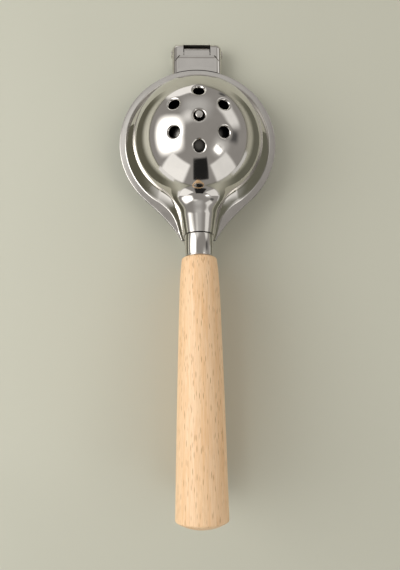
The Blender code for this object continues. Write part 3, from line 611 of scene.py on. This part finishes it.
skin = bmesh.new()
neck_top = press_underside - fit_gap
full_depth = neck_height(neck_end_y) - fit_gap
nose_length = (press_neck_start_y - neck_end_y) * nose_share
previous = None
for station in range(press_neck_stations + 1):
    share = station / press_neck_stations
    y = press_neck_start_y + (neck_end_y - press_neck_start_y) * share
    along = min((press_neck_start_y - y) / nose_length, 1)
    swell = math.sqrt(1 - (1 - along) ** 2 * (1 - nose_bluntness))
    width = (neck_end_radius + neck_taper * (y - neck_end_y)) * (nose_width + (1 - nose_width) * swell)
    depth = full_depth * swell
    legs = max(depth - width, least_leg)
    round_part = arc((0, neck_top - legs), (width, depth - legs), 180, 360, press_neck_rays)
    ring = []
    for x, z in [(-width, neck_top), *round_part, (width, neck_top)]:
        leaned = square_end((x, y, 2 * parting - z), share)
        ring.append(skin.verts.new((x, leaned[1], z)))
    if previous:
        stitch(skin, previous, ring)
    else:
        skin.faces.new(ring)
    previous = ring
press_neck = placed("press_neck_skin", skin)
press_neck.data.materials.append(mirror_steel)
finish_with(press_neck, "SOLIDIFY", thickness=sheet, offset=-1)
soften_edges(press_neck, 0.0002, 2, 35)
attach(press_neck, "press_half")
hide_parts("press_neck")


# Press pin: a short bright rod riveted through the top of the press cup, seen in the strainer's middle hole.
# Turned from bar, with a chamfered tip, a plain washer under the dome and an upset rivet head below it.
pin_washer_radius, pin_washer_thickness = 0.0036, 0.0008
pin_rivet_radius, pin_rivet_height = 0.0024, 0.0009
pin_rounding, washer_chamfer = 0.0003, 0.00012


def turned(name, profile, start, direction, material, steps=96):
    """A piece turned on a lathe: (distance, radius) steps along an axis, each ring drawn on from the last."""
    axis = (tool.to_3x3() @ Vector(direction)).normalized()
    base = tool @ Vector(start)
    bpy.ops.object.select_all(action="DESELECT")
    turn = axis.to_track_quat("Z", "Y").to_euler()
    distance, radius = profile[0]
    fill = "NOTHING" if profile[0] == profile[-1] else "NGON"
    at = base + axis * distance
    bpy.ops.mesh.primitive_circle_add(
        vertices=steps, radius=radius, fill_type=fill, location=at, rotation=turn
    )
    piece = bpy.context.object
    piece.name = name
    bpy.ops.object.mode_set(mode="EDIT")
    bpy.ops.mesh.select_mode(type="EDGE")
    bpy.ops.mesh.select_all(action="SELECT")
    for next_distance, next_radius in profile[1:]:
        move = {"value": axis * (next_distance - distance)}
        bpy.ops.mesh.extrude_region_move(TRANSFORM_OT_translate=move)
        at = base + axis * next_distance
        bpy.ops.transform.resize(value=(next_radius / radius,) * 3, center_override=at)
        distance, radius = next_distance, next_radius
    bpy.ops.mesh.select_all(action="SELECT")
    bpy.ops.mesh.remove_doubles(threshold=hair)
    bpy.ops.mesh.normals_make_consistent(inside=False)
    bpy.ops.object.mode_set(mode="OBJECT")
    bpy.ops.object.transform_apply(location=True, rotation=True, scale=True)
    bpy.ops.object.shade_smooth_by_angle(angle=math.radians(30))
    piece.data.materials.append(material)
    return piece


def tube(start, end, bore, radius, chamfer):
    """The closed profile of a turned tube, with its two outer edges chamfered."""
    cut = math.copysign(chamfer, end - start)
    outside = [(start, radius - chamfer), (start + cut, radius), (end - cut, radius), (end, radius - chamfer)]
    return [(start, bore), *outside, (end, bore), (start, bore)]


tip = cup_radius + press_pin_proud
washer_top = circle_height(press_radius - sheet, pin_washer_radius) - fit_gap
washer_low = washer_top - pin_washer_thickness
rivet_top = washer_low - fit_gap
tip_middle = (tip - pin_rounding, press_pin_radius - pin_rounding)
profile = arc(tip_middle, (pin_rounding, pin_rounding), 0, 90, 6)
profile.append((rivet_top, press_pin_radius))
profile += arc((rivet_top, 0), (pin_rivet_height, pin_rivet_radius), 90, 170, 8)
pin_foot = (0, press_pin_offset, 0)
press_pin = turned("press_pin_turned", profile, pin_foot, (0, 0, 1), mirror_steel, 64)
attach(press_pin, "press_half")
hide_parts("press_pin")
profile = tube(washer_top, washer_low, press_pin_radius + fit_gap, pin_washer_radius, washer_chamfer)
press_washer = turned("press_pin_washer_turned", profile, pin_foot, (0, 0, 1), mirror_steel, 64)
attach(press_washer, "press_half")
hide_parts("press_pin_washer")


# Strainer bracket: the hinge box, folded from 1 mm sheet with rounded bends, and welded to the rim. Its far
# edge is slotted for the knuckle, its cheeks are cut to a boss round the pin, and the bends are nicked.
bracket_width, bracket_sheet = 0.025, 0.001
bracket_bend, bracket_front_length = 0.003, 0.004
slot_width, slot_back, front_wall = 0.0136, 0.0028, 0.0006
boss_radius, wall_tuck, wall_back_depth = 0.005, 0.00105, 0.004
nick_width, nick_length, nick_inset, nick_from_pin = 0.0005, 0.0018, 0.0027, 0.0043
nick_turn = math.radians(50)
pin_radius, pin_y, pin_z = 0.00175, pin_point.y, pin_point.z
bracket_front_y = pin_y + bracket_front_length
bracket_top = -sheet + bracket_sheet
bracket_low = pin_z - boss_radius
bracket_back_y = circle_height(rim_radius, bracket_width / 2) - sheet
# Cutters reach an overcut past the metal, and what lies within the slack of a plane lies in it.
overcut, slack = 0.001, 1e-5
rim_cut_low, rim_cut_high = (0, 0, -0.02), (0, 0, 0.02)


def block(name, low, high):
    """A cube primitive at its size and place in the tool's frame, applied there."""
    bpy.ops.object.select_all(action="DESELECT")
    bpy.ops.mesh.primitive_cube_add(size=1)
    piece = bpy.context.object
    piece.name = name
    size = Matrix.Diagonal((*(Vector(high) - Vector(low)), 1))
    piece.matrix_world = tool @ Matrix.Translation((Vector(low) + Vector(high)) / 2) @ size
    bpy.ops.object.transform_apply(location=True, rotation=True, scale=True)
    return piece


def cut_away(piece, cutter):
    """Cuts one shape out of a piece and clears the cutter away."""
    finish_with(piece, "BOOLEAN", operation="DIFFERENCE", object=cutter, solver="EXACT")
    bpy.data.objects.remove(cutter, do_unlink=True)


def bent_box(name, inset, bend, low_z, back_y):
    """A box with the bends of folded sheet along its top edges, its front edge and its front corners."""
    half = bracket_width / 2 - inset
    top, front = bracket_top - inset, bracket_front_y - inset
    box = block(name, (-half, back_y, low_z), (half, front, top))

    def bent(a, b):
        high, ahead = min(a.z, b.z) > top - slack, min(a.y, b.y) > front - slack
        return (high or ahead) and max(a.y, b.y) > back_y + slack and max(a.z, b.z) > low_z + slack

    select_edges(box, bent)
    bpy.ops.mesh.bevel(offset=bend, segments=12, profile=0.5)
    bpy.ops.object.mode_set(mode="OBJECT")
    return box


def rod(name, radius, low, high, turns=192):
    """A round cutter between two points in the tool's frame."""
    bpy.ops.object.select_all(action="DESELECT")
    low, high = tool @ Vector(low), tool @ Vector(high)
    turn = (high - low).to_track_quat("Z", "Y").to_euler()
    middle, length = (low + high) / 2, (high - low).length
    bpy.ops.mesh.primitive_cylinder_add(
        vertices=turns, radius=radius, depth=length, location=middle, rotation=turn
    )
    bpy.context.object.name = name
    bpy.ops.object.transform_apply(location=True, rotation=True, scale=True)
    return bpy.context.object


def extruded(name, outline, width):
    """A flat (y, z) outline of the tool's frame, filled and drawn out to a width along its X axis."""
    face = bmesh.new()
    face.faces.new([face.verts.new((-width / 2, y, z)) for y, z in outline])
    piece = placed(name, face)
    pick(piece)
    bpy.ops.object.mode_set(mode="EDIT")
    bpy.ops.mesh.select_all(action="SELECT")
    across = tool.to_3x3() @ Vector((width, 0, 0))
    bpy.ops.mesh.extrude_region_move(TRANSFORM_OT_translate={"value": across})
    bpy.ops.mesh.select_all(action="SELECT")
    bpy.ops.mesh.normals_make_consistent(inside=False)
    bpy.ops.object.mode_set(mode="OBJECT")
    return piece


bracket = bent_box("hinge_box", 0, bracket_bend, bracket_low, bracket_back_y)
inner_bend = bracket_bend - bracket_sheet
below, behind, in_front = bracket_low - overcut, bracket_back_y - overcut, bracket_front_y + overcut
cut_away(bracket, bent_box("hollow", bracket_sheet, inner_bend, below, behind))
slot_end = (slot_width / 2, bracket_front_y - front_wall, overcut)
cut_away(bracket, block("slot", (-slot_width / 2, pin_y - slot_back, below), slot_end))
cut_away(bracket, rod("rim_cut", rim_radius + fit_gap, rim_cut_low, rim_cut_high))

# The cheeks narrow from the rim to the boss round the pin: what lies below that line is cut away.
cheek = [(behind, bracket_top - wall_back_depth), (rim_radius - wall_tuck, bracket_top - wall_back_depth)]
cheek += arc((pin_y, pin_z), (boss_radius, boss_radius), 230, 315, 24)
cheek += [(in_front, cheek[-1][1]), (in_front, below), (behind, below)]
cut_away(bracket, extruded("cheek_trim", cheek, 2 * bracket_width))
pin_left, pin_right = (-bracket_width, pin_y, pin_z), (bracket_width, pin_y, pin_z)
cut_away(bracket, rod("pin_drill", pin_radius + fit_gap, pin_left, pin_right, 64))
for sign in (-1, 1):
    corner = Vector((nick_length, nick_width / 2, overcut))
    nick = block("nick", -corner, corner)
    at = (sign * (bracket_width / 2 - nick_inset), pin_y - nick_from_pin, bracket_top)
    turn = Matrix.Rotation(-sign * nick_turn, 4, "Z")
    nick.data.transform(tool @ Matrix.Translation(at) @ turn @ to_tool)
    cut_away(bracket, nick)
finish_with(bracket, "WELD", merge_threshold=hair)
soften_edges(bracket, 0.00018, 3, 25)
finish_with(bracket, "WEIGHTED_NORMAL", weight=100, keep_sharp=True)


dish_side, dish_back, dish_front = (0.0084, 0.0102), (0.039, 0.0404), (0.0446, 0.0456)
lip_side, lip_back, lip_front = (0.0085, 0.0105), (0.045, 0.0454), (0.0458, 0.0462)
dish_depth, lip_height = 0.0001, 0.00006


def hinge_box_relief(wire, spot):
    """The shallow dish pressed into the box's top behind its slot, and the raised lip between them."""
    across = wire.node("ShaderNodeSeparateXYZ", inputs={"Vector": spot}, output="X").maths("ABSOLUTE")
    along = wire.node("ShaderNodeSeparateXYZ", inputs={"Vector": spot}, output="Y")
    level = wire.node("ShaderNodeVectorMath", {"operation": "MULTIPLY"}, {0: spot, 1: (1, 1, 0)})
    from_centre = wire.node("ShaderNodeVectorMath", {"operation": "LENGTH"}, {0: level}, "Value")
    dish = (1 - across.between(*dish_side)) * (1 - along.between(*dish_front))
    dish = dish * from_centre.between(*dish_back)
    lip = along.between(*lip_back) * (1 - along.between(*lip_front))
    lip = lip * (1 - across.between(*lip_side))
    return lip * lip_height - dish * dish_depth


hinge_steel = buffed_steel("polished_hinge_steel", (0.66, 0.635, 0.6), 0.07, relief=hinge_box_relief)
bracket.data.materials.clear()
bracket.data.materials.append(hinge_steel)
bracket.data.materials.append(inner_shade_steel)
# Faces inside the box and in the slot take the darker steel, as painted shade inside the box.
for face in bracket.data.polygons:
    middle = to_tool @ face.center
    between_cheeks = abs(middle.x) < bracket_width / 2 - bracket_sheet + slack
    under_top = middle.z < bracket_top - bracket_sheet + slack
    in_slot = abs(middle.x) < slot_width / 2 + slack and middle.y > pin_y - slot_back - slack
    behind_front = middle.y < bracket_front_y - front_wall + slack
    if behind_front and (in_slot or between_cheeks and under_top):
        face.material_index = 1
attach(bracket, "strainer_half")
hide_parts("strainer_bracket")


# Press bracket: a tongue of the same sheet in line with the press cup's rim, welded to it by its wider
# shoulder. It is rolled down round the pin into the hinge's knuckle, whose end stops short of the tongue.
knuckle_width, tongue_width, shoulder_length, shoulder_round = 0.013, 0.019, 0.00335, 0.002
knuckle_bore = pin_radius + fit_gap
knuckle_radius = knuckle_bore + sheet
tongue_shoulder_y = rim_radius + shoulder_length
tongue_back_y = circle_height(rim_radius, tongue_width / 2) - sheet
outline = [(tongue_back_y, press_top)]
outline += arc((pin_y, pin_z), (knuckle_radius, knuckle_radius), 90, -230, 64)
outline += arc((pin_y, pin_z), (knuckle_bore, knuckle_bore), -230, 90, 64)
outline.append((tongue_back_y, press_underside))
tongue = extruded("hinge_tongue", outline, knuckle_width)
shoulder_end = (tongue_width / 2, tongue_shoulder_y, press_top)
shoulder = block("shoulder", (-tongue_width / 2, tongue_back_y, press_underside), shoulder_end)
select_edges(shoulder, lambda a, b: abs(a.z - b.z) > sheet / 2 and a.y > tongue_shoulder_y - slack)
bpy.ops.mesh.bevel(offset=shoulder_round, segments=8, profile=0.5)
bpy.ops.object.mode_set(mode="OBJECT")
finish_with(tongue, "BOOLEAN", operation="UNION", object=shoulder, solver="EXACT")
bpy.data.objects.remove(shoulder, do_unlink=True)
cut_away(tongue, rod("rim_cut", rim_radius + fit_gap, rim_cut_low, rim_cut_high))
finish_with(tongue, "WELD", merge_threshold=hair)
soften_edges(tongue, 0.00015, 3, 25)
finish_with(tongue, "WEIGHTED_NORMAL", weight=100, keep_sharp=True)
tongue.data.materials.clear()
tongue.data.materials.append(mirror_steel)
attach(tongue, "press_half")
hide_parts("press_bracket")


# Hinge pin: a steel rivet pin through both cheeks of the bracket, with a low domed head formed on each end.
# Two tube spacers on it keep the knuckle in the middle of the box.
pin_head_radius, pin_head_height = 0.0021, 0.0003
pin_reach = bracket_width / 2 + fit_gap
# A head's first ring stops just short of its tip, and is filled.
half_pin = arc((-pin_reach, 0), (pin_head_height, pin_head_radius), 180, 90, 19)[2::2]
half_pin += [(-pin_reach, pin_head_radius), (-pin_reach, pin_radius)]
profile = half_pin + [(-distance, radius) for distance, radius in reversed(half_pin)]
hinge_pin = turned("hinge_pin_turned", profile, (0, pin_y, pin_z), (1, 0, 0), mirror_steel, 64)
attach(hinge_pin, "strainer_half")
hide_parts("hinge_pin")
spacer_inside = knuckle_width / 2 + fit_gap
spacer_outside = bracket_width / 2 - bracket_sheet - fit_gap
spacer_radius, spacer_chamfer = knuckle_bore + bracket_sheet / 2, 0.0001
profile = tube(spacer_inside, spacer_outside, knuckle_bore, spacer_radius, spacer_chamfer)
for name, sign in (("hinge_spacer_left", -1), ("hinge_spacer_right", 1)):
    spacer = turned(f"{name}_turned", profile, (0, pin_y, pin_z), (sign, 0, 0), mirror_steel, 64)
    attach(spacer, "strainer_half")
    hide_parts(name)


# Collars: short turned sleeves between neck and handle, which taper back to a small bead against the wood.
# They are polished like the strainer cup. The studs that they slide on stay hidden inside.
collar_length, collar_front_radius, collar_back_radius = 0.0103, 0.0067, 0.0063
collar_bead, bead_length, collar_edge = 0.00025, 0.0008, 0.00025
groove_length, groove_depth, bead_sink = 0.0002, 0.00012, 0.0001
stud_radius = 0.003
neck_end = (axis_start_y - neck_end_y) / math.cos(handle_splay)
collar_start = neck_end + fit_gap
collar_end = collar_start + collar_length
wood_start = collar_end + fit_gap
halves = {
    "strainer": (
        Vector((0, axis_start_y, axis_height)),
        Vector((0, -math.cos(handle_splay), math.sin(handle_splay))),
    ),
    "press": (
        Vector((0, axis_start_y, 2 * parting - axis_height)),
        Vector((0, -math.cos(handle_splay), -math.sin(handle_splay))),
    ),
}
shank = stud_radius + fit_gap
bead_middle = (collar_end - bead_length / 2, collar_back_radius - bead_sink)
edge_middle = (collar_start + collar_edge, collar_front_radius - collar_edge)
profile = [(collar_start, shank)] + arc(edge_middle, (collar_edge, collar_edge), 180, 90, 5)
profile.append((collar_end - bead_length - groove_length, collar_back_radius))
profile.append((collar_end - bead_length, collar_back_radius - groove_depth))
profile += arc(bead_middle, (bead_length / 2, collar_bead + bead_sink), 180, 0, 8)
profile += [(collar_end, shank), (collar_start, shank)]
for half, (start, direction) in halves.items():
    collar = turned(f"{half}_collar_turned", profile, start, direction, mirror_steel)
    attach(collar, f"{half}_half")
    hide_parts(f"{half}_collar")


# Inserts: threaded brass bushes pressed into the bores of the handles, which the studs screw into.
# Turned from bar, with both ends chamfered, and wholly inside the wood.
insert_radius, insert_length, insert_chamfer = 0.0046, 0.012, 0.0004


def turned_brass(name):
    """Brass with the fine turning rings of the lathe and a faint tarnish in patches."""
    material, shader, wire = new_material(name)
    shader.inputs["Metallic"].default_value = 1
    place = wire.node("ShaderNodeTexCoord", output="Object")
    tarnish = wire.node("ShaderNodeTexNoise", inputs={"Vector": place, "Scale": 260, "Detail": 5})
    tarnish = tarnish.between(0.4, 0.7)
    stretched = wire.node("ShaderNodeMapping", inputs={"Vector": place, "Scale": (0.05, 1, 0.05)})
    rings = wire.node("ShaderNodeTexNoise", inputs={"Vector": stretched, "Scale": 3000, "Detail": 2})
    mixed = {0: tarnish, 6: (0.78, 0.57, 0.25, 1), 7: (0.58, 0.39, 0.15, 1)}
    wire.node("ShaderNodeMix", {"data_type": "RGBA"}, mixed, output=2).feed(shader, "Base Color")
    (0.24 + 0.14 * tarnish).feed(shader, "Roughness")
    wire.node("ShaderNodeBump", inputs={"Height": rings, "Distance": 0.00001}).feed(shader, "Normal")
    return material


brass = turned_brass("turned_brass")
profile = tube(wood_start, wood_start + insert_length, shank, insert_radius, insert_chamfer)
for half, (start, direction) in halves.items():
    insert = turned(f"{half}_insert_turned", profile, start, direction, brass, 48)
    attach(insert, f"{half}_half")
    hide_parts(f"{half}_insert")


# Handles: turned beech with the grain along them, swelling from the collar to a crowned butt with a rounded
# edge. Sanded fine and oiled: fibres in soft streaks, wider bands of growth, and beech's short dark flecks.
handle_end = 0.1295
handle_length = handle_end - wood_start
front_radius, back_radius, handle_bow = 0.0087, 0.0113, 0.0002
flare, flare_length = 0.0008, 0.006
front_round, butt_round, butt_crown = 0.001, 0.0009, 0.0032
stud_depth, insert_depth = 0.0228, insert_length + fit_gap
handle_rings, ring_crowding = 48, 1.6


def handle_radius(s):
    grow = front_radius + (back_radius - front_radius) * s / handle_length
    bow = handle_bow * math.sin(math.pi * s / handle_length)
    return grow + bow - flare * math.exp(-s / flare_length)


def oiled_beech(name, start, direction, shift):
    """Beech in the handle's own frame, its grain along the axis, cut from the plank at a shift of its own."""
    material, shader, wire = new_material(name)
    place = wire.node("ShaderNodeTexCoord", output="Object")
    turn = (tool.to_3x3() @ direction).to_track_quat("Z", "Y").to_euler()
    inputs = {"Vector": place, "Location": tool @ start, "Rotation": turn}
    on_axis = wire.node("ShaderNodeMapping", {"vector_type": "TEXTURE"}, inputs)

    def grain(size, length, **settings):
        """Noise in streaks of a width and a length in metres."""
        scale = (1 / size, 1 / size, 1 / length)
        placed = {"Vector": on_axis, "Location": shift, "Scale": scale}
        streaks = wire.node("ShaderNodeMapping", inputs=placed)
        return wire.node("ShaderNodeTexNoise", inputs={"Vector": streaks, "Scale": 1, **settings})

    bands = grain(0.004, 0.09, Detail=2, Distortion=0.4).between(0.35, 0.68)
    streaks = grain(0.0009, 0.02, Detail=3, Distortion=0.3).between(0.35, 0.65)
    fibres = grain(0.0003, 0.007, Detail=3).between(0.35, 0.7)
    scale = (1 / 0.0006, 1 / 0.0006, 1 / 0.0052)
    cells = wire.node("ShaderNodeMapping", inputs={"Vector": on_axis, "Location": shift, "Scale": scale})
    near = wire.node("ShaderNodeTexVoronoi", inputs={"Vector": cells, "Scale": 1}, output="Distance")
    chance = wire.node("ShaderNodeTexVoronoi", inputs={"Vector": cells, "Scale": 1}, output="Color")
    chance = wire.node("ShaderNodeSeparateXYZ", inputs={"Vector": chance}, output="X")
    flecks = (1 - near.between(0.16, 0.36)) * chance.between(0.15, 0.75)

    def tinted(mask, under, over):
        return wire.node("ShaderNodeMix", {"data_type": "RGBA"}, {0: mask, 6: under, 7: over}, output=2)

    wood = tinted(bands, (0.88, 0.605, 0.36, 1), (0.83, 0.53, 0.28, 1))
    wood = tinted(streaks * 0.6, wood, (0.9, 0.67, 0.44, 1))
    wood = tinted(fibres * 0.4, wood, (0.68, 0.39, 0.18, 1))
    wood = tinted(flecks * 0.8, wood, (0.42, 0.22, 0.09, 1))
    wood.feed(shader, "Base Color")
    (0.4 + 0.12 * fibres + 0.1 * flecks).feed(shader, "Roughness")
    height = fibres * 0.5 + streaks * 0.5 - flecks
    bump = wire.node("ShaderNodeBump", inputs={"Height": height, "Distance": 0.00003, "Strength": 0.8})
    bump.feed(shader, "Normal")
    shader.inputs["Coat Weight"].default_value = 0.12
    shader.inputs["Coat Roughness"].default_value = 0.32
    return material


stud_bore, insert_bore = shank, insert_radius + fit_gap
profile = [(stud_depth, stud_bore), (insert_depth, stud_bore)]
profile += [(insert_depth, insert_bore), (0.0, insert_bore)]
front_middle = (front_round, handle_radius(front_round) - front_round)
profile += arc(front_middle, (front_round, front_round), 180, 90, 8)
crown_radius = (back_radius**2 + butt_crown**2) / (2 * butt_crown)
crown_lean = math.asin((back_radius - butt_round) / (crown_radius - butt_round))
straight = handle_length - crown_radius + (crown_radius - butt_round) * math.cos(crown_lean)
for ring in range(1, handle_rings + 1):
    s = front_round + (straight - front_round) * (ring / handle_rings) ** ring_crowding
    profile.append((s, handle_radius(s)))
butt_middle, crown_degrees = (straight, handle_radius(straight) - butt_round), math.degrees(crown_lean)
profile += arc(butt_middle, (butt_round, butt_round), 90, crown_degrees, 8)[1:]
# The crown's last ring stops just short of the axis, and is filled.
crown_middle, crown_tip = (handle_length - crown_radius, 0), crown_degrees / 121
profile += arc(crown_middle, (crown_radius, crown_radius), crown_degrees, crown_tip, 12)[1:]
profile = [(wood_start + distance, radius) for distance, radius in profile]
shifts = {"strainer": (0.4, 3.1, 0.2), "press": (7.3, 1.6, 4.9)}
for half, (start, direction) in halves.items():
    beech = oiled_beech(f"{half}_handle_beech", start, direction, shifts[half])
    handle = turned(f"{half}_handle_turned", profile, start, direction, beech)
    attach(handle, f"{half}_half")
    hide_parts(f"{half}_handle")


# Studs: drawn steel rods from a head inside each neck, through the collar and the insert, to just short of
# the bore's end. The head clears the neck's ridge, and shows only where the neck is open below.
drawn_steel = buffed_steel("drawn_bar_steel", (0.4, 0.385, 0.36), 0.24)
head_radius, head_length, head_end = 0.0047, 0.005, 0.0026
stud_length, stud_chamfer = 0.034, 0.0005
stud_end = head_end + stud_length
profile = tube(head_end - head_length, head_end, stud_radius, head_radius, stud_chamfer)[1:-1]
profile += [(stud_end - stud_chamfer, stud_radius), (stud_end, stud_radius - stud_chamfer)]
for half, (start, direction) in halves.items():
    stud = turned(f"{half}_stud_turned", profile, start, direction, drawn_steel, 48)
    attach(stud, f"{half}_half")
    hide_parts(f"{half}_stud")
